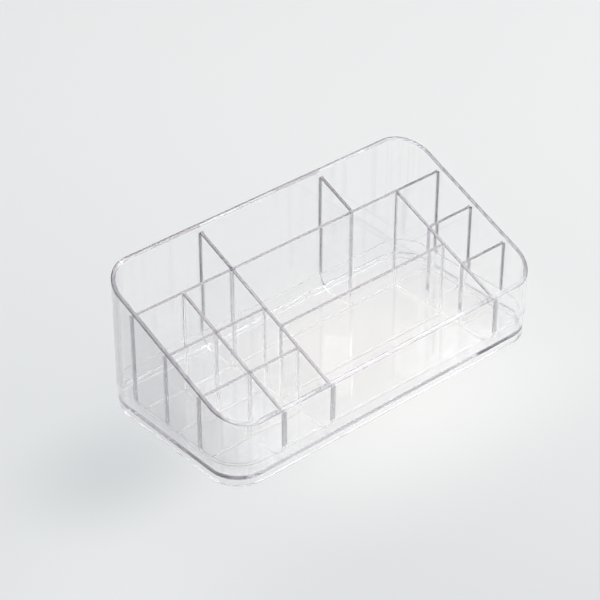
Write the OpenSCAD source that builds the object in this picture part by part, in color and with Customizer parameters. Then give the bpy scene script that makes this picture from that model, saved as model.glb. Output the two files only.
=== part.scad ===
// Clear vanity organizer. A shallow base tray carries a round-cornered wall whose rim
// slopes down to the front. Ten upright dividers make fourteen compartments inside it.
// The origin is at the middle of the footprint, on the surface that it stands on.
// X runs along the length, Y from front to back and Z up.

/* [Body] */
// Length of the outer wall, left to right
body_l = 220; // [190:1:300]
// Depth of the outer wall, front to back
body_d = 109; // [92:1:150]
// Height of the rim at the back
back_h = 82.5; // [62:0.5:120]
// Height of the rim at the front
front_h = 38; // [30:0.5:55]
// Outside radius of the four upright corners
corner_r = 19; // [14:0.5:25]
// Thickness of the outer wall
wall_t = 2.4; // [2:0.1:3.6]

/* [Base tray] */
// Height of the shoulder that the outer wall stands on
tray_h = 13.5; // [11:0.5:17]
// Height of the hollow under the floor
foot_h = 3.2; // [2:0.1:5]
// Thickness of the foot ring round that hollow
foot_t = 2.4; // [1.5:0.1:4]
// Thickness of the floor
floor_t = 2.2; // [1.6:0.1:3]
// Radius of the fillet between the floor and the tray's upright side
fillet_r = 1.2; // [0.6:0.1:2]
// How far the tray's outside face is set back under the outer wall
tray_setback = 0.6; // [0.2:0.1:0.8]

/* [Dividers] */
// Thickness of every divider
divider_t = 2; // [1.4:0.1:3]
// How far the tops of the dividers lie below the rim
divider_drop = 3.4; // [1:0.1:8]
// Clear width of the small compartments at the left and right
small_bay_w = 31; // [24:0.5:36]
// Clear depth of the wide compartment at the front
front_bay_d = 38.8; // [30:0.2:46]

/* [Joints] */
// Height of the tongue that locates the wall on the tray
tongue_h = 0.9; // [0.6:0.1:2]
// Thickness of that tongue
tongue_t = 1.2; // [0.9:0.1:1.4]
// Depth of the grooves in the floor and wall that the dividers stand in
seat = 0.5; // [0.2:0.1:0.7]
// Gap for cement beside each seated face
cement_gap = 0.05; // [0.02:0.01:0.1]
// Radius of the cement bead in the corners between upright faces
bead_r = 0.8; // [0.3:0.1:1.5]

/* [Hidden] */
$fn = 96;

// Overrun of every cut past the face that it opens
over = 1;

// Heights
floor_z = foot_h + floor_t;
groove_z = floor_z - seat;
fillet_z = floor_z + fillet_r;
tongue_z = tray_h + tongue_h;

// Inside faces of the outer wall
inner_x = body_l / 2 - wall_t;
inner_y = body_d / 2 - wall_t;

// Centre lines of the cross dividers, which run front to back
outer_cross_x = inner_x - small_bay_w - divider_t / 2;
inner_cross_x = outer_cross_x - small_bay_w - divider_t;

// Centre lines of the long dividers, which run left to right: four rows of equal clear depth
row_count = 4;
row_bay_d = (2 * inner_y - (row_count - 1) * divider_t) / row_count;
rear_y = inner_y - row_bay_d - divider_t / 2;
upper_y = rear_y - row_bay_d - divider_t;
lower_y = upper_y - row_bay_d - divider_t;
centre_y = front_bay_d + divider_t / 2 - inner_y;

// Height of the sloping rim plane over a place in the depth, and of the divider tops
rim_slope = (back_h - front_h) / body_d;
function rim_z(y) = front_h + (y + body_d / 2) * rim_slope;
function divider_z(y) = rim_z(y) - divider_drop;

// How far from the wall's outside face the fillet ends, and where the swept edge ends
fillet_end = wall_t + fillet_r;
edge_end = fillet_end + foot_t;

// Radius of a divider's lower corner, from the top of the tongue down to the floor
heel_r = tongue_z - floor_z;

// Rounded rectangle of the organizer's outline, drawn in by an inset
module outline(inset) {
    r = corner_r - inset;
    square([body_l - 2 * corner_r, body_d - 2 * inset], center = true);
    square([body_l - 2 * inset, body_d - 2 * corner_r], center = true);
    for (sx = [-1, 1], sy = [-1, 1])
        translate([sx * (body_l / 2 - corner_r), sy * (body_d / 2 - corner_r)]) circle(r);
}

// Everything above a plane parallel to the rim and a given drop below it
module above_rim(drop) {
    far_y = body_d / 2 + over;
    top_z = back_h + body_d;
    translate([-body_l / 2 - over, 0, 0])
        rotate([90, 0, 90])
            linear_extrude(body_l + 2 * over)
                polygon([
                    [-far_y, rim_z(-far_y) - drop], [far_y, rim_z(far_y) - drop],
                    [far_y, top_z], [-far_y, top_z]
                ]);
}

// Section of the tray's edge: foot ring, floor, fillet and the tongue for the wall.
// Its x is the distance in from the outer wall's outside face.
module tray_section() {
    difference() {
        polygon([
            [tray_setback, 0], [tray_setback + foot_t, 0], [tray_setback + foot_t, foot_h],
            [edge_end, foot_h], [edge_end, floor_z], [fillet_end, floor_z],
            [fillet_end, fillet_z], [wall_t, fillet_z], [wall_t, tongue_z],
            [wall_t - tongue_t, tongue_z], [wall_t - tongue_t, tray_h], [tray_setback, tray_h]
        ]);
        translate([fillet_end, fillet_z]) circle(fillet_r);
    }
}

// The tray's edge along one straight side, centred, with its outside at y = -depth / 2
module tray_side(length, depth) {
    translate([-length / 2, -depth / 2, 0]) rotate([90, 0, 90]) linear_extrude(length) tray_section();
}

// The tray's edge round one corner, turned to the quarter that it stands in
module tray_corner(x, y, turn) {
    translate([x, y, 0])
        rotate(turn)
            rotate_extrude(angle = 90)
                translate([corner_r, 0]) mirror([1, 0]) tray_section();
}

// Upright face of a panel that runs from a to b, with a flat top. An end on the outer wall
// is seated in it above the tongue, and rounded below so that it stands free of the tray.
module panel_face(a, b, top, wall_a, wall_b) {
    difference() {
        translate([a, groove_z]) square([b - a, top - groove_z]);
        if (wall_a) translate([a, groove_z]) heel(1);
        if (wall_b) translate([b, groove_z]) heel(-1);
    }
}

// What the rounding takes off a panel's lower corner, seated edges included
module heel(side) {
    reach = heel_r + seat;
    mirror([side > 0 ? 0 : 1, 0])
        difference() {
            translate([-over, -over]) square(reach + over);
            translate([reach, reach]) circle(heel_r);
        }
}

// A panel along X at depth y: flat top, level with the sloping divider plane over its middle
module x_panel(a, b, y, wall_a, wall_b, t) {
    translate([0, y + t / 2, 0])
        rotate([90, 0, 0])
            linear_extrude(t) panel_face(a, b, divider_z(y), wall_a, wall_b);
}

// A panel along Y at place x: its top is cut off at the sloping divider plane
module y_panel(a, b, x, wall_a, wall_b, t) {
    difference() {
        translate([x - t / 2, 0, 0])
            rotate([90, 0, 90]) linear_extrude(t) panel_face(a, b, back_h, wall_a, wall_b);
        above_rim(divider_drop);
    }
}

// Cement bead: an upright fillet in the corner at x, y that opens to the side sx, sy
module bead(x, y, sx, sy, z0, z1) {
    translate([x, y, z0])
        mirror([sx > 0 ? 0 : 1, 0, 0])
            mirror([0, sy > 0 ? 0 : 1, 0])
                linear_extrude(z1 - z0)
                    difference() {
                        square(bead_r);
                        translate([bead_r, bead_r]) circle(bead_r);
                    }
}

// Slot width and the height where two crossing panels meet halfway
slot_t = divider_t + 2 * cement_gap;
function slot_z(y) = (groove_z + divider_z(y)) / 2;

// Slot in a panel along X, open at the top, where a cross divider passes
module x_slot(x, y) {
    depth = divider_t + 2 * over;
    translate([x - slot_t / 2, y - depth / 2, slot_z(y)]) cube([slot_t, depth, back_h]);
}

// Slot in a panel along Y, open at the foot, where a long divider passes
module y_slot(x, y) {
    width = divider_t + 2 * over;
    height = slot_z(y) + cement_gap - groove_z;
    translate([x - width / 2, y - slot_t / 2, groove_z - over]) cube([width, slot_t, height + over]);
}

// Beads on both faces of a panel along X, at its end on an upright face at x
module x_end_beads(x, y, side, z0) {
    difference() {
        for (face = [-1, 1]) bead(x, y + face * divider_t / 2, side, face, z0, divider_z(y));
        above_rim(divider_drop);
    }
}

// Beads on both faces of a panel along Y, at its end on an upright face at y
module y_end_beads(x, y, side, z0) {
    difference() {
        for (face = [-1, 1]) bead(x + face * divider_t / 2, y, face, side, z0, back_h);
        above_rim(divider_drop);
    }
}

// Beads in the four corners where a cross divider passes through a panel along X
module crossing_beads(x, y) {
    difference() {
        for (sx = [-1, 1], sy = [-1, 1])
            bead(x + sx * slot_t / 2, y + sy * divider_t / 2, sx, sy, floor_z, divider_z(y));
        above_rim(divider_drop);
    }
}

// The ten panels before their slots and beads, at a given thickness
module rear_plate(t) { x_panel(-inner_x - seat, inner_x + seat, rear_y, true, true, t); }
module left_cross_plate(t) { y_panel(-inner_y - seat, inner_y + seat, -inner_cross_x, true, true, t); }
module back_cross_plate(t) { y_panel(rear_y + divider_t / 2, inner_y + seat, inner_cross_x, false, true, t); }
module front_cross_plate(x, t) { y_panel(-inner_y - seat, rear_y - divider_t / 2, x, true, false, t); }
module left_plate(y, t) { x_panel(-inner_x - seat, -inner_cross_x - divider_t / 2, y, true, false, t); }
module right_plate(y, t) { x_panel(outer_cross_x + divider_t / 2, inner_x + seat, y, false, true, t); }
module centre_plate(t) {
    x_panel(-inner_cross_x + divider_t / 2, outer_cross_x - divider_t / 2, centre_y, false, false, t);
}

// Grooves in the tray and the wall for every panel's foot and ends
module grooves() {
    rear_plate(slot_t);
    left_cross_plate(slot_t);
    back_cross_plate(slot_t);
    for (side = [-1, 1]) front_cross_plate(side * outer_cross_x, slot_t);
    for (y = [upper_y, lower_y]) {
        left_plate(y, slot_t);
        right_plate(y, slot_t);
    }
    centre_plate(slot_t);
}

// Colourless clear plastic, a little cooler in the tray's thicker section
module clear_plastic() { color([0.88, 0.91, 0.94, 0.4]) children(); }
module clear_tray_plastic() { color([0.84, 0.87, 0.92, 0.45]) children(); }

// Shallow tray: floor, foot ring, fillet and the tongue that the wall fits over
module base_tray() {
    clear_tray_plastic() difference() {
        union() {
            translate([0, 0, foot_h]) linear_extrude(floor_t) outline(edge_end);
            for (turn = [0, 180]) rotate(turn) {
                tray_side(body_l - 2 * corner_r, body_d);
                rotate(90) tray_side(body_d - 2 * corner_r, body_l);
                tray_corner(body_l / 2 - corner_r, body_d / 2 - corner_r, 0);
                tray_corner(corner_r - body_l / 2, body_d / 2 - corner_r, 90);
            }
        }
        grooves();
    }
}

// Round-cornered wall with the sloping rim, rebated at its foot to fit over the tongue
module outer_wall() {
    clear_plastic() difference() {
        translate([0, 0, tray_h]) linear_extrude(back_h - tray_h) outline(0);
        translate([0, 0, tray_h - over]) linear_extrude(back_h) outline(wall_t);
        translate([0, 0, tray_h - over])
            linear_extrude(tongue_h + cement_gap + over) outline(wall_t - tongue_t - cement_gap);
        above_rim(0);
        grooves();
    }
}

// Long divider between the back row and the front, over the whole length
module rear_divider() {
    clear_plastic() {
        difference() {
            rear_plate(divider_t);
            x_slot(-inner_cross_x, rear_y);
        }
        crossing_beads(-inner_cross_x, rear_y);
        x_end_beads(-inner_x, rear_y, 1, tongue_z);
        x_end_beads(inner_x, rear_y, -1, tongue_z);
    }
}

// Cross divider over the whole depth, on the right of the six small compartments
module left_cross_divider() {
    clear_plastic() {
        difference() {
            left_cross_plate(divider_t);
            y_slot(-inner_cross_x, rear_y);
        }
        y_end_beads(-inner_cross_x, -inner_y, 1, tongue_z);
        y_end_beads(-inner_cross_x, inner_y, -1, tongue_z);
    }
}

// Cross divider in the back row, from the rear divider to the back wall
module back_cross_divider() {
    clear_plastic() {
        back_cross_plate(divider_t);
        y_end_beads(inner_cross_x, rear_y + divider_t / 2, 1, floor_z);
        y_end_beads(inner_cross_x, inner_y, -1, tongue_z);
    }
}

// Cross divider between the two columns of small compartments at the left
module front_left_cross_divider() {
    clear_plastic() {
        difference() {
            front_cross_plate(-outer_cross_x, divider_t);
            for (y = [upper_y, lower_y]) y_slot(-outer_cross_x, y);
        }
        y_end_beads(-outer_cross_x, -inner_y, 1, tongue_z);
        y_end_beads(-outer_cross_x, rear_y - divider_t / 2, -1, floor_z);
    }
}

// Cross divider beside the three small compartments at the right
module front_right_cross_divider() {
    clear_plastic() {
        front_cross_plate(outer_cross_x, divider_t);
        y_end_beads(outer_cross_x, -inner_y, 1, tongue_z);
        y_end_beads(outer_cross_x, rear_y - divider_t / 2, -1, floor_z);
    }
}

// Divider across both columns of small compartments at the left, at depth y
module left_divider(y) {
    clear_plastic() {
        difference() {
            left_plate(y, divider_t);
            x_slot(-outer_cross_x, y);
        }
        crossing_beads(-outer_cross_x, y);
        x_end_beads(-inner_x, y, 1, tongue_z);
        x_end_beads(-inner_cross_x - divider_t / 2, y, -1, floor_z);
    }
}

module left_upper_divider() { left_divider(upper_y); }
module left_lower_divider() { left_divider(lower_y); }

// Divider in the column of small compartments at the right, at depth y
module right_divider(y) {
    clear_plastic() {
        right_plate(y, divider_t);
        x_end_beads(outer_cross_x + divider_t / 2, y, 1, floor_z);
        x_end_beads(inner_x, y, -1, tongue_z);
    }
}

module right_upper_divider() { right_divider(upper_y); }
module right_lower_divider() { right_divider(lower_y); }

// Divider between the two wide compartments in the middle
module centre_divider() {
    clear_plastic() {
        centre_plate(divider_t);
        x_end_beads(-inner_cross_x + divider_t / 2, centre_y, 1, floor_z);
        x_end_beads(outer_cross_x - divider_t / 2, centre_y, -1, floor_z);
    }
}

base_tray();
outer_wall();
rear_divider();
left_cross_divider();
back_cross_divider();
front_left_cross_divider();
front_right_cross_divider();
left_upper_divider();
left_lower_divider();
right_upper_divider();
right_lower_divider();
centre_divider();
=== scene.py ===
"""Clear vanity organizer: the looks of its tray, wall and ten dividers, in a studio whose pale ground carries
painted light and shadow.

Every piece is clear moulded plastic, darker in places for dull edges and as painted shade, with
painted highlights as milky white lines along the dividers' feet. The tray and the wall are sections
swept round the organizer's rounded outline, and each divider is a thin plate with a rounded top edge
that swells into a fillet wherever it meets the floor, the wall or another divider.
"""

import logging
import math
from dataclasses import dataclass, field
from enum import Enum

import bpy
from mathutils import Matrix, Vector


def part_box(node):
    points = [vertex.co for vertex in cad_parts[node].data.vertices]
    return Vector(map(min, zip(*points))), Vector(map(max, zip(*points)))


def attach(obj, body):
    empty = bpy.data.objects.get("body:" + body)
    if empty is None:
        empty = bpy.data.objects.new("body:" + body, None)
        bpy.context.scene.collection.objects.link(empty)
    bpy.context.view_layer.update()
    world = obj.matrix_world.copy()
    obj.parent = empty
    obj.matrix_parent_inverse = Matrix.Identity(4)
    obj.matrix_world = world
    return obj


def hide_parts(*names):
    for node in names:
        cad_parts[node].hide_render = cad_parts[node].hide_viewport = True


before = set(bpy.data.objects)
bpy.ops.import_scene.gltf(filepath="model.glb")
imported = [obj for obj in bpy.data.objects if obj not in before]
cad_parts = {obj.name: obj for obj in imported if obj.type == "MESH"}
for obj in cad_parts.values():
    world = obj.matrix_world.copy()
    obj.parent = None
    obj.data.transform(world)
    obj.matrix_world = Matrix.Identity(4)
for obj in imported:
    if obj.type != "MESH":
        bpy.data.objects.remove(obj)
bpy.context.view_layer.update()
LOG = logging.getLogger("organizer")
MM = 0.001
HAIR = 0.01 * MM  # places nearer to each other than this count as one
Pair = tuple[float, float]
Point = tuple[float, float, float]
Colour = tuple[float, float, float]
Socket = bpy.types.NodeSocket


class Slot(Enum):
    """The pieces' material slots."""

    TRAY = "tray_plastic"
    WALL = "wall_plastic"
    DIVIDER = "divider_plastic"


class Way(Enum):
    """The direction that a divider runs in."""

    ALONG = "along"
    ACROSS = "across"


class End(Enum):
    """What a divider ends on."""

    WALL = "wall"
    PANEL = "panel"


class Slit(Enum):
    """Where a divider is slit for the one that crosses it."""

    TOP = "top"
    FOOT = "foot"


class Side(Enum):
    """Where a column of a divider's mesh stands beside a slit, from left to right."""

    LEFT_FACE = 0
    LEFT_IN_SLIT = 1
    PLAIN = 2
    RIGHT_IN_SLIT = 3
    RIGHT_FACE = 4


class Mark(Enum):
    """What a mesh marks on its points for the finish to show."""

    # darker places: partly dull edges, partly painted shade
    EDGE = "dull_edge"
    # painted highlight: milky white lines along the dividers' feet
    CEMENT = "cement_line"


def share(value: float, start: float, stop: float) -> float:
    """How far a value has come from a start to a stop, from 0 to 1."""
    return min(max((value - start) / (stop - start), 0.0), 1.0)


def round_off(radius: float, gap: float) -> float:
    """How far a quarter round between two faces lies off the one, at a distance from the other."""
    return 0.0 if gap >= radius else radius - math.sqrt(max(radius**2 - (radius - gap) ** 2, 0.0))


def arc_steps(radius: float, count: int) -> list[Pair]:
    """Points of a quarter round, from the tangent of one face to the tangent of the next.

    Args:
        radius: Radius of the rounding.
        count: Number of steps that it is made in.

    Returns:
        Pairs (in, down): how far the point lies in from the first face, and how far it
        lies below the second one.
    """
    turns = [math.pi / 2 * k / count for k in range(count + 1)]
    return [(radius * (1 - math.cos(t)), radius * (1 - math.sin(t))) for t in turns]


class Nodes:
    """The nodes of a material or of the room, with short ways to add, feed and mix them."""

    def __init__(self, tree: bpy.types.NodeTree) -> None:
        """Keeps the tree that the nodes go into."""
        self.tree = tree

    def feed(self, node: bpy.types.Node, inputs: dict[str | int, object]) -> None:
        """Sets or links a node's sockets.

        Args:
            node: The node.
            inputs: A value or another node's output for each socket, by name or number.
        """
        for socket, value in inputs.items():
            if isinstance(value, Socket):
                self.tree.links.new(value, node.inputs[socket])
            else:
                node.inputs[socket].default_value = value

    def add(self, kind: str, inputs: dict[str | int, object], **settings: str) -> bpy.types.Node:
        """Adds a node.

        Args:
            kind: Its kind, as Blender names it after ShaderNode.
            inputs: A value or another node's output for each socket, by name or number.
            settings: Its own settings.

        Returns:
            The node.
        """
        node = self.tree.nodes.new("ShaderNode" + kind)
        for name, value in settings.items():
            setattr(node, name, value)
        self.feed(node, inputs)
        return node

    def fade(self, value: Socket, start: float, stop: float) -> Socket:
        """Turns a value into a share that rises gently from 0 at a start to 1 at a stop.

        Args:
            value: The value.
            start: Where the share is 0.
            stop: Where it is 1.

        Returns:
            The share.
        """
        ends = {"Value": value, "From Min": start, "From Max": stop}
        return self.add("MapRange", ends, interpolation_type="SMOOTHSTEP").outputs["Result"]

    def mark(self, mark: Mark) -> Socket:
        """Reads what the meshes mark on their points."""
        return self.add("Attribute", {}, attribute_name=mark.value).outputs["Fac"]

    def tone(self, over: Socket, first: Socket | Colour, second: Colour) -> Socket:
        """Mixes two colours.

        Args:
            over: Share of the second colour.
            first: The first colour, plain or from a node.
            second: The second colour.

        Returns:
            The mixed colour.
        """
        start = first if isinstance(first, Socket) else (*first, 1.0)
        ends = {"Factor": over, "A": start, "B": (*second, 1.0)}
        return self.add("Mix", ends, data_type="RGBA").outputs["Result"]

    def surface(self, over: Socket, first: Socket, second: Socket) -> Socket:
        """Mixes two surfaces by the share of the second."""
        return self.add("MixShader", {"Fac": over, 1: first, 2: second}).outputs["Shader"]


@dataclass(frozen=True)
class ClearPlastic:
    """Clear moulded styrene: glossy, faintly tinted through its thickness, slightly wavy.

    The meshes mark where it is darker, for dull edges and as painted shade, and where it takes a painted
    highlight: a milky white line.

    Attributes:
        name: Material name.
        tint: Colour that the plastic takes through its thickness.
        density: How strongly it takes that colour, per metre.
        bending: How strongly it refracts.
        roughness: Roughness of the surface.
        handled: How smooth and how rough the surface is in places, as shares of that.
        handled_scale: How many such places there are to a metre.
        ripple: Height of the slow unevenness that the mould leaves, in metres.
        ripple_scale: How many waves of it there are to a metre.
        shade: Colour that light from the lamps keeps on its way through.
        edge: Colour of the darker places: dull edges, and painted shade.
        painted_highlight: Colour of the painted highlight: milky white lines along the dividers' feet.
        highlight_strength: How much of the painted highlight line is milky white.
    """

    name: str
    tint: Colour = (0.61, 0.575, 0.645)
    density: float = 9.0
    bending: float = 1.55
    roughness: float = 0.012
    handled: Pair = (0.4, 1.6)
    handled_scale: float = 60.0
    ripple: float = 0.000003
    ripple_scale: float = 28.0
    shade: Colour = (0.994, 0.995, 0.996)
    edge: Colour = (0.195, 0.175, 0.225)
    painted_highlight: Colour = (1.0, 0.99, 0.965)
    highlight_strength: float = 0.85

    def relief(self, nodes: Nodes) -> dict[str, Socket]:
        """Makes the slow ripple, and the places that are smoother or rougher than others.

        Args:
            nodes: The material's nodes.

        Returns:
            What they feed into the plastic.
        """
        where = nodes.add("TexCoord", {}).outputs["Object"]
        wave = nodes.add("TexNoise", {"Vector": where, "Scale": self.ripple_scale, "Detail": 1.5})
        bump = nodes.add("Bump", {"Height": wave.outputs["Fac"], "Distance": self.ripple, "Strength": 1.0})
        haze = nodes.add("TexNoise", {"Vector": where, "Scale": self.handled_scale, "Detail": 4.0})
        least, most = (self.roughness * part for part in self.handled)
        rough = nodes.add("MapRange", {"Value": haze.outputs["Fac"], "To Min": least, "To Max": most})
        return {"Normal": bump.outputs["Normal"], "Roughness": rough.outputs["Result"]}

    def material(self) -> bpy.types.Material:
        """Builds the node material.

        Returns:
            The finished material.
        """
        made = bpy.data.materials.new(self.name)
        made.use_nodes = True
        made.node_tree.nodes.clear()
        nodes = Nodes(made.node_tree)
        plastic = nodes.add("BsdfPrincipled", {"Transmission Weight": 1.0, "IOR": self.bending})
        # darker base colour where the meshes mark dull edges and painted shade
        nodes.feed(plastic, {"Base Color": nodes.tone(nodes.mark(Mark.EDGE), (1.0, 1.0, 1.0), self.edge)})
        nodes.feed(plastic, self.relief(nodes))
        # painted highlight: milky white diffuse where the meshes mark the dividers' feet
        highlight_mask = nodes.add("Math", {0: nodes.mark(Mark.CEMENT), 1: self.highlight_strength}, operation="MULTIPLY")
        highlight_white = nodes.add("BsdfDiffuse", {"Color": (*self.painted_highlight, 1.0)})
        shown = nodes.surface(highlight_mask.outputs["Value"], plastic.outputs["BSDF"], highlight_white.outputs["BSDF"])
        through = nodes.add("BsdfTransparent", {"Color": (*self.shade, 1.0)}).outputs["BSDF"]
        path = nodes.add("LightPath", {})
        for rays in ("Is Shadow Ray", "Is Diffuse Ray"):
            shown = nodes.surface(path.outputs[rays], shown, through)
        depth = nodes.add("VolumeAbsorption", {"Color": (*self.tint, 1.0), "Density": self.density})
        nodes.add("OutputMaterial", {"Surface": shown, "Volume": depth.outputs["Volume"]})
        return made


@dataclass(frozen=True)
class PaintedLightPatch:
    """A patch of painted light on the ground, brighter, or of painted shadow, darker, that fades out from its
    middle.

    Attributes:
        colour: Its colour in the middle.
        middle: Where its middle lies.
        reach: How far it reaches along each axis.
    """

    colour: Colour
    middle: Point
    reach: Point

    def lay(self, nodes: Nodes, where: Socket, under: Socket) -> Socket:
        """Lays the patch over the colours found so far.

        Args:
            nodes: The material's nodes.
            where: Places on the ground.
            under: Colour without the patch.

        Returns:
            The colour with it.
        """
        away = nodes.add("VectorMath", {0: where, 1: self.middle}, operation="SUBTRACT")
        spread = nodes.add("VectorMath", {0: away.outputs["Vector"], 1: self.reach}, operation="DIVIDE")
        far = nodes.add("VectorMath", {0: spread.outputs["Vector"]}, operation="LENGTH")
        return nodes.tone(nodes.fade(far.outputs["Value"], 1.0, 0.0), under, self.colour)


@dataclass(frozen=True)
class PaleGround:
    """Pale studio ground with painted light: darker and cooler at the left, whiter towards the right, painted
    pools of light round and under the organizer and a painted shadow at its left.

    Attributes:
        left: Colour at the left, darker: painted falloff of the lamp light.
        right: Colour at the right, lighter: painted falloff of the lamp light.
        reach: Width over which the one turns into the other, in metres.
        roughness: Its roughness.
        painted_light_patches: Painted pools of light round the organizer, under it and at its front left, and
            the painted shadow at its left.
    """

    left: Colour = (0.750, 0.768, 0.775)
    right: Colour = (0.805, 0.818, 0.816)
    reach: float = 0.42
    roughness: float = 0.9
    painted_light_patches: tuple[PaintedLightPatch, ...] = (
        PaintedLightPatch((0.93, 0.93, 0.915), (0.005, -0.050, 0.0), (0.185, 0.110, 1.0)),
        PaintedLightPatch((0.97, 0.955, 0.925), (0.025, 0.005, 0.0), (0.150, 0.085, 1.0)),
        PaintedLightPatch((0.815, 0.832, 0.836), (-0.200, -0.075, 0.0), (0.140, 0.110, 1.0)),
        PaintedLightPatch((0.665, 0.685, 0.692), (-0.146, 0.004, 0.0), (0.070, 0.058, 1.0)),
    )

    def material(self) -> bpy.types.Material:
        """Builds the node material.

        Returns:
            The finished material.
        """
        made = bpy.data.materials.new("pale_ground")
        made.use_nodes = True
        nodes = Nodes(made.node_tree)
        where = nodes.add("TexCoord", {}).outputs["Object"]
        across = nodes.add("SeparateXYZ", {"Vector": where}).outputs["X"]
        # painted light falloff: the ground darker at the left, lighter at the right
        shown = nodes.tone(nodes.fade(across, -self.reach / 2, self.reach / 2), self.left, self.right)
        # painted pools of light round and under the organizer, and a painted shadow at its left
        for patch in self.painted_light_patches:
            shown = patch.lay(nodes, where, shown)
        paint = {"Base Color": shown, "Roughness": self.roughness, "Specular IOR Level": 0.0}
        nodes.feed(made.node_tree.nodes["Principled BSDF"], paint)
        return made


@dataclass
class Sizes:
    """The organizer's lengths in metres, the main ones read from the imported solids.

    Attributes:
        corner_r: Outside radius of the upright corners.
        wall_t: Thickness of the wall.
        floor_t: Thickness of the floor.
        foot_h: Height of the hollow under the floor.
        foot_t: Thickness of the foot ring.
        divider_t: Thickness of a divider.
        fillet_r: Radius of the fillet between the floor and the tray's side.
        shoulder_r: Radius of the tray's shoulder, under the wall.
        tongue_t: Thickness of the tongue that the wall fits over.
        bead_r: Radius of the cement beads beside the dividers.
        lap: How far two joined pieces run into each other.
        front_h: Height of the rim at the front.
        half_x: Half the length.
        half_y: Half the depth.
        back_h: Height of the rim at the back.
        tray_h: Height of the shoulder.
        tongue_z: Height of the tongue's top.
        setback: How far the tray's outside is set back under the wall.
        drop: How far the dividers' tops lie below the rim.
    """

    corner_r: float = 19 * MM
    wall_t: float = 2.4 * MM
    floor_t: float = 2.2 * MM
    foot_h: float = 3.2 * MM
    foot_t: float = 2.4 * MM
    divider_t: float = 2 * MM
    fillet_r: float = 1.2 * MM
    shoulder_r: float = 0.3 * MM
    tongue_t: float = 1.2 * MM
    bead_r: float = 0.8 * MM
    lap: float = 0.012 * MM
    front_h: float = 38 * MM
    half_x: float = field(init=False)
    half_y: float = field(init=False)
    back_h: float = field(init=False)
    tray_h: float = field(init=False)
    tongue_z: float = field(init=False)
    setback: float = field(init=False)
    drop: float = field(init=False)

    def __post_init__(self) -> None:
        """Reads the outline, the heights and the drop of the dividers from the solids."""
        low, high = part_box("outer_wall")
        tray_low, tray_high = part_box("base_tray")
        self.half_x, self.half_y = high.x, high.y
        self.back_h, self.tray_h, self.tongue_z = high.z, low.z, tray_high.z
        self.setback = tray_low.x - low.x
        panel_low, panel_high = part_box("right_upper_divider")
        self.drop = self.rim_z((panel_low.y + panel_high.y) / 2) - panel_high.z

    @property
    def floor_z(self) -> float:
        """Height of the top of the floor."""
        return self.foot_h + self.floor_t

    @property
    def heel_r(self) -> float:
        """Radius of a divider's lower corner, from the tongue's top down to the floor."""
        return self.tongue_z - self.floor_z

    @property
    def inner_x(self) -> float:
        """Half the clear length inside the wall."""
        return self.half_x - self.wall_t

    @property
    def inner_y(self) -> float:
        """Half the clear depth inside the wall."""
        return self.half_y - self.wall_t

    def rim_z(self, y: float) -> float:
        """Height of the sloping rim over a place in the depth."""
        return self.front_h + (y + self.half_y) * (self.back_h - self.front_h) / (2 * self.half_y)

    def divider_z(self, y: float) -> float:
        """Height of the divider tops over a place in the depth."""
        return self.rim_z(y) - self.drop


@dataclass
class Moulding:
    """A mesh in the making: its vertices and faces, and how it becomes a dressed piece.

    Attributes:
        name: Name of the solid that the piece stands for.
        crisp: Angle in degrees over which an edge between two faces stays crisp.
        points: The vertices so far.
        faces: The faces so far.
        marks: What is marked on each vertex.
    """

    name: str
    crisp: float = 40.0
    points: list[Point] = field(default_factory=list)
    faces: list[tuple[int, ...]] = field(default_factory=list)
    marks: dict[Mark, list[float]] = field(default_factory=lambda: {mark: [] for mark in Mark})

    def point(self, x: float, y: float, z: float, edge: float = 0.0, painted_highlight: float = 0.0) -> int:
        """Adds a vertex.

        Args:
            x: Its place to the right.
            y: Its place to the back.
            z: Its height.
            edge: How much of the darker colour it takes, for a dull edge and for painted shade.
            painted_highlight: How much of the painted highlight line it lies on.

        Returns:
            Its number.
        """
        self.points.append((x, y, z))
        self.marks[Mark.EDGE].append(edge)
        self.marks[Mark.CEMENT].append(painted_highlight)
        return len(self.points) - 1

    def quad(self, *corners: int) -> None:
        """Adds a face over four vertices, or over three where two of them are the same.

        Args:
            corners: The vertices' numbers, anticlockwise as seen from outside.
        """
        ring = tuple(dict.fromkeys(corners))
        if len(ring) > 2:
            self.faces.append(ring)

    def piece(self, material: bpy.types.Material, slot: Slot) -> bpy.types.Object:
        """Turns the mesh into a piece that stands for the solid of the same name.

        Args:
            material: Finish of the piece.
            slot: Material slot that the piece belongs to; not used.

        Returns:
            The new object, riding on the organizer's body.
        """
        mesh = bpy.data.meshes.new(self.name + "_mesh")
        mesh.from_pydata(self.points, [], self.faces)
        for mark, values in self.marks.items():
            mesh.attributes.new(mark.value, "FLOAT", "POINT").data.foreach_set("value", values)
        mesh.validate()
        mesh.polygons.foreach_set("use_smooth", [True] * len(mesh.polygons))
        mesh.set_sharp_from_angle(angle=math.radians(self.crisp))
        mesh.materials.append(material)
        made = bpy.data.objects.new(self.name + "_moulding", mesh)
        bpy.context.scene.collection.objects.link(made)
        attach(made, "root")
        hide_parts(self.name)
        LOG.info("%s: %d faces", made.name, len(mesh.polygons))
        return made


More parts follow.
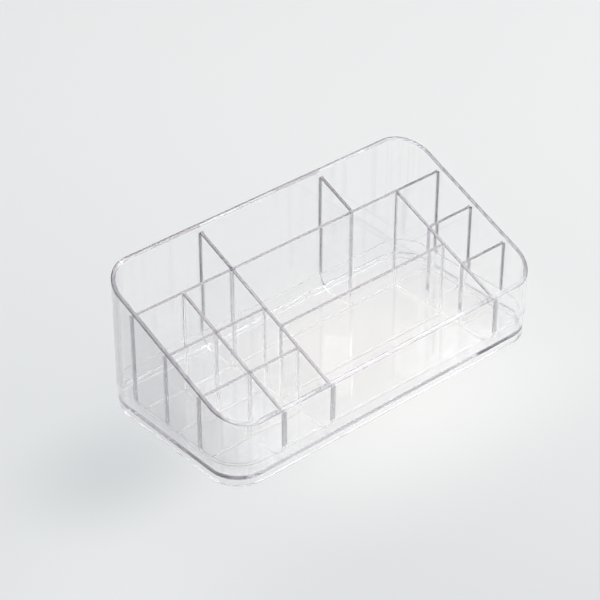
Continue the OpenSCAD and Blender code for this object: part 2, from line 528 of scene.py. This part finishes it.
@dataclass
class RimmedShell:
    """A section swept round the organizer's rounded outline.

    Attributes:
        sizes: The organizer's lengths.
        corner_steps: Steps in each corner.
        straight_steps: Where the straight sides have a step, as shares of their length.
        corner_gap: Distance of the step that keeps a straight side straight beside a corner.
        support: Distance of the row that keeps a flat face flat beside a rounding.
    """

    sizes: Sizes
    corner_steps: int = 36
    straight_steps: tuple[float, ...] = (0.1, 0.25, 0.5, 0.75, 0.9)
    corner_gap: float = 0.4 * MM
    support: float = 0.03 * MM

    def stations(self) -> list[tuple[float, float, float]]:
        """Stations round the outline, anticlockwise from the right-hand side's front.

        Returns:
            For each the centre that it turns about, and the angle that it faces.
        """
        s = self.sizes
        cx, cy = s.half_x - s.corner_r, s.half_y - s.corner_r
        corners = [(cx, cy), (-cx, cy), (-cx, -cy), (cx, -cy)]
        found = []
        for k, (x, y) in enumerate(corners):
            for step in range(self.corner_steps + 1):
                found.append((x, y, math.pi / 2 * (k + step / self.corner_steps)))
            next_x, next_y = corners[(k + 1) % 4]
            near = self.corner_gap / (abs(next_x - x) + abs(next_y - y))
            for part in (near, *self.straight_steps, 1 - near):
                found.append((x + (next_x - x) * part, y + (next_y - y) * part, math.pi / 2 * (k + 1)))
        return found

    def shade_to_left(self, turn: float, most: float) -> float:
        """Painted shade: how much darker a face is, towards the left-hand side alone."""
        return most * max(-math.cos(turn), 0.0)

    def place(self, station: tuple[float, float, float], inset: float) -> Pair:
        """The place in plan that lies an inset in from the outline.

        Args:
            station: The station on the outline.
            inset: The inset.

        Returns:
            The place to the right and to the back.
        """
        x, y, turn = station
        reach = self.sizes.corner_r - inset
        return x + reach * math.cos(turn), y + reach * math.sin(turn)


@dataclass
class OuterWall(RimmedShell):
    """The wall that stands on the tray, with its rim sloping down to the front.

    Attributes:
        rim_r: Radius of the rim's outer edge.
        lip_r: Radius of its inner edge.
        foot_r: Radius of the edges at the wall's foot.
        dull_and_shade_w: Width of the dark line along the rim's outer edge: partly a dull edge, partly
            painted shade.
        dull_and_shade_fade: Width over which that line runs out.
        dull_and_shade_from: Sines of the facing angle between which it comes up from the front.
        least_dull_and_shade: How dark the rim is in front, where the line is missing.
        side_dull_and_shade: How dark the rest of the rim is on the two sloping sides: painted shade.
        side_from: Cosines of the facing angle between which those sides start.
        left_shade: How much darker the outside is at the left: painted shade.
    """

    rim_r: float = 0.4 * MM
    lip_r: float = 0.15 * MM
    foot_r: float = 0.2 * MM
    dull_and_shade_w: float = 0.85 * MM
    dull_and_shade_fade: float = 0.25 * MM
    dull_and_shade_from: Pair = (-0.97, -0.37)
    least_dull_and_shade: float = 0.2
    side_dull_and_shade: float = 0.75
    side_from: Pair = (0.3, 1.0)
    left_shade: float = 0.33

    def section(self) -> list[tuple[float, float, bool]]:
        """The wall's section, up the outside and down the inside.

        Returns:
            Triples (inset, height, on the rim): a height on the rim counts down from it.
        """
        s, near = self.sizes, self.support
        foot, rim, lip = (arc_steps(r, n) for r, n in ((self.foot_r, 3), (self.rim_r, 6), (self.lip_r, 4)))
        rebate, tongue, shoulder = s.tongue_z - s.lap, s.wall_t - s.tongue_t + s.lap, s.setback + s.shoulder_r
        return [
            *((inset, s.tray_h + up, False) for inset, up in foot[::-1]),
            (0.0, s.tray_h + self.foot_r + near, False),
            (0.0, self.rim_r + near, True),
            *((inset, down, True) for inset, down in rim),
            (self.rim_r + near, 0.0, True),
            (self.dull_and_shade_w, 0.0, True),
            (self.dull_and_shade_w + self.dull_and_shade_fade, 0.0, True),
            (s.wall_t - self.lip_r - near, 0.0, True),
            *((s.wall_t - inset, down, True) for inset, down in lip[::-1]),
            (s.wall_t, self.lip_r + near, True),
            (s.wall_t, rebate + self.foot_r + near, False),
            *((s.wall_t - inset, rebate + up, False) for inset, up in foot),
            (tongue, rebate, False),
            (tongue, s.tray_h - s.lap, False),
            (shoulder, s.tray_h - s.lap, False),
            (shoulder, s.tray_h, False),
        ]

    def dull_and_shade(self, turn: float, inset: float) -> float:
        """How dark the rim is, partly a dull edge and partly painted shade: along its outer edge, and wider
        on the two sloping sides.

        Args:
            turn: The angle that the place faces.
            inset: How far it lies in from the outer face.

        Returns:
            A share from 0 to 1.
        """
        along = share(math.sin(turn), *self.dull_and_shade_from)
        if inset <= self.dull_and_shade_w:
            return max(along, self.least_dull_and_shade)
        aside = share(abs(math.cos(turn)), *self.side_from)
        return max(along * self.side_dull_and_shade * aside, self.least_dull_and_shade * (1 - along))

    def build(self, finish: bpy.types.Material) -> bpy.types.Object:
        """Sweeps the wall.

        Args:
            finish: The wall's plastic.

        Returns:
            The wall.
        """
        mould = Moulding("outer_wall")
        rings = []
        for station in self.stations():
            ring = []
            for inset, height, on_rim in self.section():
                x, y = self.place(station, inset)
                outside = inset < self.dull_and_shade_w
                # painted shade: the outside darker towards the left-hand side
                edge = self.shade_to_left(station[2], self.left_shade) if outside else 0.0
                # the rim's dark lines: partly a dull edge, partly painted shade
                if on_rim and height < (self.rim_r if outside else self.lip_r) - HAIR:
                    edge = self.dull_and_shade(station[2], inset)
                ring.append(mould.point(x, y, self.sizes.rim_z(y) - height if on_rim else height, edge))
            rings.append(ring)
        count = len(rings[0])
        for ring, after in zip(rings, rings[1:] + rings[:1]):
            for k in range(count):
                mould.quad(ring[k], after[k], after[(k + 1) % count], ring[(k + 1) % count])
        return mould.piece(finish, Slot.WALL)


@dataclass
class BaseTray(RimmedShell):
    """The shallow tray: a foot ring, the floor, and the upright side that the wall stands on.

    Attributes:
        edge_r: Radius of the foot's two edges.
        inner_r: Radius inside the foot, under the floor.
        tongue_r: Radius of the tongue's inner edge.
        shade_above: Painted shade: how much darker the left side's shoulder is, and the face under it.
        shade_below: Painted shade: how much darker the left side's lower edge is, and the face over it.
    """

    edge_r: float = 0.35 * MM
    inner_r: float = 0.5 * MM
    tongue_r: float = 0.3 * MM
    shade_above: Pair = (0.8, 0.3)
    shade_below: Pair = (1.0, 0.12)

    def section(self) -> list[Pair]:
        """The tray's section from under the floor, round the foot and up to the floor.

        Returns:
            Pairs (inset, height).
        """
        s, near = self.sizes, self.support
        out, inn = s.setback, s.setback + s.foot_t
        end = s.wall_t + s.fillet_r + near
        inner, edge, tongue = (arc_steps(r, count=4) for r in (self.inner_r, self.edge_r, self.tongue_r))
        return [
            (end, s.foot_h),
            (inn + self.inner_r + near, s.foot_h),
            *((inn + a, s.foot_h - b) for b, a in inner),
            (inn, s.foot_h - self.inner_r - near),
            (inn, self.edge_r + near),
            *((inn - a, b) for a, b in edge),
            (inn - self.edge_r - near, 0.0),
            (out + self.edge_r + near, 0.0),
            *((out + a, b) for a, b in edge[::-1]),
            (out, self.edge_r + near),
            (out, s.tray_h - s.shoulder_r - near),
            *((out + a, s.tray_h - b) for a, b in arc_steps(s.shoulder_r, count=3)),
            (out + s.shoulder_r + near, s.tray_h),
            (s.wall_t - s.tongue_t, s.tray_h),
            (s.wall_t - s.tongue_t, s.tongue_z),
            (s.wall_t - self.tongue_r - near, s.tongue_z),
            *((s.wall_t - a, s.tongue_z - b) for a, b in tongue[::-1]),
            (s.wall_t, s.tongue_z - self.tongue_r - near),
            (s.wall_t, s.floor_z + s.fillet_r + near),
            *((s.wall_t + a, s.floor_z + b) for a, b in arc_steps(s.fillet_r, count=8)),
            (end, s.floor_z),
        ]

    def left_shade_at(self, inset: float, height: float) -> float:
        """Painted shade: how much darker the left-hand side is at a place, most on its two outer edges.

        Args:
            inset: How far the place lies in from the outline.
            height: Its height.

        Returns:
            A share from 0 to 1.
        """
        out = inset - self.sizes.setback
        above = height > self.sizes.tray_h / 2
        on_edge, on_face = self.shade_above if above else self.shade_below
        if out <= HAIR:
            return on_face
        edge_r = self.sizes.shoulder_r if above else self.edge_r
        return on_edge if out < edge_r + self.support + HAIR else 0.0

    def build(self, finish: bpy.types.Material) -> bpy.types.Object:
        """Sweeps the tray's edge and closes it with the floor.

        Args:
            finish: The tray's plastic.

        Returns:
            The tray.
        """
        mould = Moulding("base_tray")
        rings = []
        for station in self.stations():
            ring = []
            for inset, height in self.section():
                # painted shade: the left-hand side darker, most on its two outer edges
                edge = self.shade_to_left(station[2], self.left_shade_at(inset, height))
                ring.append(mould.point(*self.place(station, inset), height, edge))
            rings.append(ring)
        for ring, after in zip(rings, rings[1:] + rings[:1]):
            for k in range(len(ring) - 1):
                mould.quad(ring[k + 1], ring[k], after[k], after[k + 1])
        mould.faces.append(tuple(ring[-1] for ring in rings))
        mould.faces.append(tuple(ring[0] for ring in reversed(rings)))
        return mould.piece(finish, Slot.TRAY)


@dataclass(frozen=True)
class Crossing:
    """A place where another divider passes through.

    Attributes:
        at: Where along this divider the other one stands.
        slit: Whether this divider is slit from the top or from the foot.
    """

    at: float
    slit: Slit


@dataclass
class Divider:
    """A clear plate that stands on the floor, from one end to the other.

    Attributes:
        name: Name of the solid that it stands for.
        sizes: The organizer's lengths.
        way: The direction that it runs in.
        place: Where its middle plane stands, across that direction.
        start: Where its lower end is, on the face that it meets.
        stop: Where its upper end is.
        start_on: What the lower end meets.
        stop_on: What the upper end meets.
        crossings: The dividers that pass through it.
        top_r: Radius of its top edges.
        top_steps: Steps of their rounding.
        under_top: Depths under that rounding at which rows keep the faces flat.
        heel_edge_r: Radius of the edges along its rounded lower corners.
        bead_steps: Steps across a fillet.
        bead_top: Depths below the top edge between which the upright beads come up.
        highlight_top: Heights over the floor between which the painted highlight, a milky white line, comes
            up.
        column_gap: Usual distance between two columns of its mesh, and the least one.
        support: Distance of the column that keeps a face flat beside a fillet.
        past: Distance of the row over the foot's fillet, and of the column past a lower corner.
        seat_dull_and_shade: How dark its seated ends are: partly dull ends, partly painted shade.
        top_dull_and_shade: How dark its top edge is: partly a dull edge, partly painted shade.
    """

    name: str
    sizes: Sizes
    way: Way
    place: float
    start: float
    stop: float
    start_on: End
    stop_on: End
    crossings: tuple[Crossing, ...] = ()
    top_r: float = 0.45 * MM
    top_steps: int = 5
    under_top: tuple[float, ...] = (0.9 * MM, 0.6 * MM, 0.3 * MM, 0.03 * MM)
    heel_edge_r: float = 0.3 * MM
    bead_steps: int = 6
    bead_top: Pair = (0.12 * MM, 0.87 * MM)
    highlight_top: Pair = (0.45 * MM, 0.15 * MM)
    column_gap: Pair = (9 * MM, 1.5 * MM)
    support: float = 0.03 * MM
    past: float = 0.05 * MM
    seat_dull_and_shade: float = 0.65
    top_dull_and_shade: float = 0.48

    def top(self, s: float) -> float:
        """Height of the top edge at a place along the divider."""
        return self.sizes.divider_z(self.place if self.way is Way.ALONG else s)

    def gaps(self, s: float, kind: End) -> list[float]:
        """Distances from a place along the divider to its ends of one kind."""
        ends = ((self.start_on, s - self.start), (self.stop_on, self.stop - s))
        return [gap for end, gap in ends if end is kind]

    def from_wall(self, s: float) -> float:
        """Distance to the nearest end that stands on the wall, or a metre where none does."""
        return min(self.gaps(s, End.WALL), default=1.0)

    def foot(self, s: float) -> float:
        """Height of the foot: on the floor, or on the rounded corner beside the wall.

        Args:
            s: Place along the divider.

        Returns:
            The height.
        """
        z = self.sizes
        gap = self.from_wall(s)
        if gap >= z.heel_r:
            return z.floor_z + z.lap
        return z.tongue_z - math.sqrt(max(z.heel_r**2 - (z.heel_r - max(gap, 0.0)) ** 2, 0.0))

    def beads(self, s: float, height: float, side: Side) -> float:
        """How far the fillets beside other dividers stand out.

        Args:
            s: Place along the divider.
            height: Height of the place.
            side: Where the place lies beside a slit.

        Returns:
            The distance that they add to the divider's half thickness.
        """
        z = self.sizes
        faces = self.gaps(s, End.PANEL)
        for crossing in self.crossings:
            gap = abs(s - crossing.at) - z.divider_t / 2
            if crossing.slit is Slit.TOP and (gap > -z.lap / 2 or side is not Side.PLAIN):
                faces.append(max(gap, 0.0))
        if not faces:
            return 0.0
        return round_off(z.bead_r, max(min(faces), 0.0)) * share(self.top(s) - height, *self.bead_top)

    def half(self, s: float, height: float, side: Side) -> float:
        """Half the divider's thickness at a place on its face.

        Args:
            s: Place along the divider.
            height: Height of the place.
            side: Where it lies beside a slit.

        Returns:
            Half the thickness.
        """
        z = self.sizes
        gap = self.from_wall(s)
        # fillets along the wall, along the floor and beside other dividers
        from_wall = math.hypot(max(gap, 0.0), max(z.tongue_z - height, 0.0))
        from_floor = math.hypot(max(z.heel_r - gap, 0.0), max(height - z.floor_z, 0.0))
        out = max(round_off(z.bead_r, min(from_wall, from_floor)), self.beads(s, height, side))
        # eased edges of the rounded lower corners
        if gap < z.heel_r and height < z.tongue_z:
            room = z.heel_r - math.hypot(z.heel_r - gap, z.tongue_z - height)
            out -= round_off(self.heel_edge_r, max(room, 0.0))
        # rounded top edges
        out -= round_off(self.top_r, self.top(s) - height)
        return z.divider_t / 2 + out

    def columns(self) -> list[tuple[float, Side]]:
        """Places along the divider at which its mesh has a column.

        Returns:
            Pairs (place, side), from left to right. At a slit's edge one column belongs to
            the face beside the slit, and one at the same place to the slit.
        """
        z = self.sizes
        fine = [gap for gap, _ in arc_steps(z.bead_r, self.bead_steps)] + [z.bead_r + self.support]
        heel = [gap for gap, _ in arc_steps(z.heel_r, count=20)]
        places: list[tuple[float, Side]] = []
        for origin, sign, kind in ((self.start, 1, self.start_on), (self.stop, -1, self.stop_on)):
            gaps = [-z.lap] + fine
            if kind is End.WALL:
                gaps += [gap for gap in heel if gap > fine[-1]]
                gaps.append(z.heel_r + self.past)
            places += [(origin + sign * gap, Side.PLAIN) for gap in gaps]
        for crossing in self.crossings:
            for sign, face, slit in ((-1, Side.LEFT_FACE, Side.LEFT_IN_SLIT),
                                     (1, Side.RIGHT_FACE, Side.RIGHT_IN_SLIT)):
                edge = crossing.at + sign * (z.divider_t / 2 - z.lap)
                places += [(edge, slit), (edge, face)]
                places += [(crossing.at + sign * (z.divider_t / 2 + gap), Side.PLAIN) for gap in fine[1:]]
        usual, least = self.column_gap
        length = self.stop - self.start
        count = max(int(length / usual), 2)
        for k in range(1, count):
            s = self.start + length * k / count
            if all(abs(s - other) > least for other, _ in places):
                places.append((s, Side.PLAIN))
        return sorted(places, key=lambda column: (round(column[0] / (0.1 * HAIR)), column[1].value))

    def slit_z(self, s: float) -> float:
        """Height at which two crossing dividers meet halfway, and run into each other a little.

        Args:
            s: Place along the divider.

        Returns:
            The height, or half the height of the divider where no other one is near.
        """
        near = [c for c in self.crossings if abs(c.at - s) < self.sizes.divider_t]
        if not near:
            return (self.sizes.floor_z + self.top(s)) / 2
        lap = self.sizes.lap / 2 if near[0].slit is Slit.TOP else -self.sizes.lap / 2
        return (self.sizes.floor_z + self.top(near[0].at)) / 2 + lap

    def heights(self, s: float) -> list[float]:
        """Heights of the mesh's rows: close at the foot and the top, and one at the slits' end.

        Args:
            s: Place along the divider.

        Returns:
            The heights, from the foot up.
        """
        z = self.sizes
        foot, top, middle = self.foot(s), self.top(s), self.slit_z(s)
        fine = [gap + z.lap for gap, _ in arc_steps(z.bead_r, self.bead_steps)] + [z.bead_r + self.past]
        rows = [foot] + [foot + gap for gap in fine]
        rows += [rows[-1] + (middle - rows[-1]) * k / 3 for k in (1, 2)]
        rows += [middle]
        lowest, *others = [top - self.top_r - depth for depth in self.under_top]
        rows += [middle + (lowest - middle) * k / 3 for k in (1, 2, 3)] + others
        rows += [top - down for _, down in arc_steps(self.top_r, self.top_steps)]
        return rows

    def point(self, mould: Moulding, s: float, n: float, height: float) -> int:
        """Adds a vertex and marks it.

        Args:
            mould: The mesh.
            s: Place along the divider.
            n: Distance off its middle plane.
            height: Height of the place.

        Returns:
            The vertex's number.
        """
        # seated ends and top edges darker: partly dull edges, partly painted shade
        edge = self.seat_dull_and_shade if self.from_wall(s) < 0.0 else 0.0
        if self.top(s) - height < self.top_r - HAIR:
            edge = self.top_dull_and_shade
        # painted highlight: a milky white line along the foot where it stands on the floor
        on_floor = self.from_wall(s) >= self.sizes.heel_r
        painted_highlight = share(height - self.sizes.floor_z, *self.highlight_top) if on_floor else 0.0
        if self.way is Way.ALONG:
            return mould.point(s, self.place + n, height, edge, painted_highlight)
        return mould.point(self.place - n, s, height, edge, painted_highlight)

    def build(self, finish: bpy.types.Material) -> bpy.types.Object:
        """Makes the divider's two faces, and the narrow faces between them.

        Args:
            finish: The dividers' plastic.

        Returns:
            The divider.
        """
        z = self.sizes
        mould = Moulding(self.name)
        columns = self.columns()
        grid = [self.heights(s) for s, _ in columns]
        rows = len(grid[0])
        rounded = rows - self.top_steps - 1
        split = grid[0].index(self.slit_z(columns[0][0]))
        front, back = [], []
        for (s, side), heights in zip(columns, grid):
            inside = side in (Side.LEFT_IN_SLIT, Side.RIGHT_IN_SLIT)
            widths = [z.divider_t / 2 if inside and row < rounded else self.half(s, height, side)
                      for row, height in enumerate(heights)]
            front.append([self.point(mould, s, -w, h) for w, h in zip(widths, heights)])
            back.append([self.point(mould, s, w, h) for w, h in zip(widths, heights)])

        def solid(column: int, row: int) -> bool:
            """Tells whether the cell right of a column and above a row holds plastic.

            Args:
                column: The column's number.
                row: The row's number.

            Returns:
                Whether it does.
            """
            if not (0 <= column < len(columns) - 1 and 0 <= row < rows - 1):
                return False
            middle = (columns[column][0] + columns[column + 1][0]) / 2
            for crossing in self.crossings:
                if abs(middle - crossing.at) < z.divider_t / 2 - z.lap - HAIR:
                    return (row < split) == (crossing.slit is Slit.TOP)
            return True

        for i in range(len(columns) - 1):
            for j in range(rows - 1):
                if not solid(i, j):
                    continue
                a, b, c, d = front[i][j], front[i + 1][j], front[i + 1][j + 1], front[i][j + 1]
                e, f, g, h = back[i][j], back[i + 1][j], back[i + 1][j + 1], back[i][j + 1]
                mould.quad(a, b, c, d)
                mould.quad(f, e, h, g)
                for column, row, rim in ((i, j - 1, (a, e, f, b)), (i, j + 1, (c, g, h, d)),
                                         (i - 1, j, (a, d, h, e)), (i + 1, j, (c, b, f, g))):
                    if not solid(column, row):
                        mould.quad(*rim)
        return mould.piece(finish, Slot.DIVIDER)


@dataclass
class DividerSet:
    """The ten dividers, laid out as the compartments ask.

    Attributes:
        sizes: The organizer's lengths.
        across_dull_and_shade: How dark the top edges of the dividers that run front to back are: partly dull
            edges, partly painted shade.
    """

    sizes: Sizes
    across_dull_and_shade: float = 0.8

    def middle(self, node: str, axis: int) -> float:
        """Middle of a solid's box along an axis."""
        low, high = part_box(node)
        return (low[axis] + high[axis]) / 2

    def layout(self) -> list[Divider]:
        """Lays the dividers out from the places of the solids that they stand for.

        Returns:
            The ten dividers.
        """
        z = self.sizes
        half = z.divider_t / 2
        rear = self.middle("rear_divider", 1)
        left = self.middle("left_cross_divider", 0)
        outer = self.middle("front_left_cross_divider", 0)
        right = self.middle("front_right_cross_divider", 0)
        upper, lower = self.middle("right_upper_divider", 1), self.middle("right_lower_divider", 1)
        across = {"sizes": z, "way": Way.ACROSS, "top_dull_and_shade": self.across_dull_and_shade}
        along = {"sizes": z, "way": Way.ALONG}
        found = [
            Divider("rear_divider", **along, place=rear, start=-z.inner_x, stop=z.inner_x,
                    start_on=End.WALL, stop_on=End.WALL, crossings=(Crossing(left, Slit.TOP),)),
            Divider("left_cross_divider", **across, place=left, start=-z.inner_y, stop=z.inner_y,
                    start_on=End.WALL, stop_on=End.WALL, crossings=(Crossing(rear, Slit.FOOT),)),
            Divider("back_cross_divider", **across, place=self.middle("back_cross_divider", 0),
                    start=rear + half, stop=z.inner_y, start_on=End.PANEL, stop_on=End.WALL),
            Divider("front_left_cross_divider", **across, place=outer,
                    start=-z.inner_y, stop=rear - half, start_on=End.WALL, stop_on=End.PANEL,
                    crossings=(Crossing(lower, Slit.FOOT), Crossing(upper, Slit.FOOT))),
            Divider("front_right_cross_divider", **across, place=right,
                    start=-z.inner_y, stop=rear - half, start_on=End.WALL, stop_on=End.PANEL),
            Divider("centre_divider", **along, place=self.middle("centre_divider", 1),
                    start=left + half, stop=right - half, start_on=End.PANEL, stop_on=End.PANEL),
        ]
        for name, y in (("upper", upper), ("lower", lower)):
            found.append(Divider(f"left_{name}_divider", **along, place=y, start=-z.inner_x,
                                 stop=left - half, start_on=End.WALL, stop_on=End.PANEL,
                                 crossings=(Crossing(outer, Slit.TOP),)))
            found.append(Divider(f"right_{name}_divider", **along, place=y, start=right + half,
                                 stop=z.inner_x, start_on=End.PANEL, stop_on=End.WALL))
        return found

    def build(self, finish: bpy.types.Material) -> list[bpy.types.Object]:
        """Builds the ten dividers in one finish."""
        return [divider.build(finish) for divider in self.layout()]


@dataclass(frozen=True)
class SoftLamp:
    """A square soft lamp that faces the organizer.

    Attributes:
        name: Its name.
        place: Where its middle hangs.
        power: Its power in watts.
        size: Its width and height.
    """

    name: str
    place: Point
    power: float
    size: float = 1.1

    def hang(self) -> None:
        """Hangs the lamp in the scene."""
        data = bpy.data.lights.new(self.name, "AREA")
        data.shape = "RECTANGLE"
        data.size = data.size_y = self.size
        data.energy = self.power
        made = bpy.data.objects.new(self.name, data)
        bpy.context.scene.collection.objects.link(made)
        made.location = self.place
        made.rotation_euler = Vector(self.place).to_track_quat("Z", "Y").to_euler()


@dataclass
class Studio:
    """The pale ground with its painted light and shadow, the soft lamps and the camera.

    Attributes:
        azimuth: Direction that the camera stands in, in degrees from the front.
        elevation: Its height over the horizon, in degrees.
        roll: Its turn about its own line of sight, in degrees.
        distance: Distance from the organizer's middle, in metres.
        shift: How far the camera stands right of and above the line to that middle.
        datum: Height of that middle.
        lens: Focal length, in millimetres.
        sensor: Width of the sensor, in millimetres.
        near: Distance under which the camera sees nothing.
        lamps: The lamps.
        ground_reach: How far the ground reaches to each side.
        ground_drop: How far it lies below the organizer.
        wall_way: Direction of the pale wall's middle.
        wall_fade: Where along that direction the dim room turns into the pale wall.
        wall_top: Sines of the heights between which the wall ends.
        room: Light that the dim room gives.
        pale_wall: Light that the pale wall gives.
        bounces: How many clear faces light may meet.
        see_through: How many more it may meet where it isn't bent.
    """

    azimuth: float = -41.3786
    elevation: float = 34.7922
    roll: float = 0.2125
    distance: float = 1.1901
    shift: Pair = (-0.01373, 0.02348)
    datum: float = 0.0135
    lens: float = 131.795
    sensor: float = 36.0
    near: float = 0.01
    lamps: tuple[SoftLamp, ...] = (
        SoftLamp("right_lamp", (1.02, -0.30, 1.40), 18.3),
        SoftLamp("left_lamp", (-0.80, 0.70, 1.45), 15.0),
    )
    ground_reach: float = 4.0
    ground_drop: float = 0.0001
    wall_way: Point = (-0.31, 0.95, 0.0)
    wall_fade: Pair = (-0.2, 0.6)
    wall_top: Pair = (0.74, 0.56)
    room: Colour = (0.10, 0.10, 0.105)
    pale_wall: Colour = (0.98, 0.985, 1.0)
    bounces: int = 128
    see_through: int = 64

    def camera(self) -> None:
        """Makes the camera and hands it to the scene."""
        turn, rise, roll = (math.radians(a) for a in (self.azimuth, self.elevation, self.roll))
        back = Vector((math.sin(turn) * math.cos(rise), -math.cos(turn) * math.cos(rise), math.sin(rise)))
        right = Vector((math.cos(turn), math.sin(turn), 0.0))
        up = back.cross(right)
        aside = right * math.cos(roll) + up * math.sin(roll)
        above = up * math.cos(roll) - right * math.sin(roll)
        data = bpy.data.cameras.new("studio_camera")
        data.lens = self.lens
        data.sensor_width = self.sensor
        data.clip_start = self.near
        made = bpy.data.objects.new("studio_camera", data)
        bpy.context.scene.collection.objects.link(made)
        spot = back * self.distance + aside * self.shift[0] + above * self.shift[1]
        spot += Vector((0.0, 0.0, self.datum))
        basis = Matrix((aside, above, back)).transposed().to_4x4()
        made.matrix_world = Matrix.Translation(spot) @ basis
        bpy.context.scene.camera = made

    def ground(self) -> None:
        """Lays the ground, large enough to fill every view."""
        mesh = bpy.data.meshes.new("ground_mesh")
        corners = [(x * self.ground_reach, y * self.ground_reach, 0.0)
                   for x, y in ((-1, -1), (1, -1), (1, 1), (-1, 1))]
        mesh.from_pydata(corners, [], [(0, 1, 2, 3)])
        mesh.materials.append(PaleGround().material())
        made = bpy.data.objects.new("ground", mesh)
        made.location.z = -self.ground_drop
        bpy.context.scene.collection.objects.link(made)

    def world(self) -> None:
        """Makes the room: dim all round, with a pale wall behind and at the left."""
        world = bpy.data.worlds.new("studio_room")
        bpy.context.scene.world = world
        world.use_nodes = True
        nodes = Nodes(world.node_tree)
        where = nodes.add("TexCoord", {}).outputs["Generated"]
        side = nodes.add("VectorMath", {0: where, 1: self.wall_way}, operation="DOT_PRODUCT")
        height = nodes.add("SeparateXYZ", {"Vector": where}).outputs["Z"]
        on_side = nodes.fade(side.outputs["Value"], *self.wall_fade)
        below_top = nodes.fade(height, *self.wall_top)
        both = nodes.add("Math", {0: on_side, 1: below_top}, operation="MULTIPLY").outputs["Value"]
        sky = world.node_tree.nodes["Background"]
        nodes.feed(sky, {"Color": nodes.tone(both, self.room, self.pale_wall)})

    def render_settings(self) -> None:
        """Lets light pass through as many clear layers as it meets."""
        scene = bpy.context.scene
        scene.view_settings.view_transform = "Standard"
        scene.cycles.max_bounces = self.bounces
        scene.cycles.transmission_bounces = self.bounces
        scene.cycles.glossy_bounces = self.bounces
        scene.cycles.transparent_max_bounces = self.see_through
        scene.cycles.caustics_refractive = False
        scene.cycles.caustics_reflective = False

    def build(self) -> None:
        """Sets up the whole studio."""
        self.camera()
        self.ground()
        self.world()
        for lamp in self.lamps:
            lamp.hang()
        self.render_settings()


def main() -> None:
    """Builds the organizer and its studio, and notes the size of what was made."""
    logging.basicConfig(level=logging.INFO, format="%(name)s %(message)s")
    sizes = Sizes()
    LOG.info("sizes: %s", sizes)
    Studio().build()
    tray_plastic = ClearPlastic("clear_tray", density=5.5, ripple=0.000002)
    wall_plastic = ClearPlastic("clear_wall", density=2.5)
    divider_plastic = ClearPlastic("clear_divider", tint=(0.605, 0.583, 0.632), density=11.0)
    tray = BaseTray(sizes).build(tray_plastic.material())
    wall = OuterWall(sizes).build(wall_plastic.material())
    dividers = DividerSet(sizes).build(divider_plastic.material())
    LOG.info("built %s, %s and %d dividers", tray.name, wall.name, len(dividers))


if __name__ == "__main__":
    main()
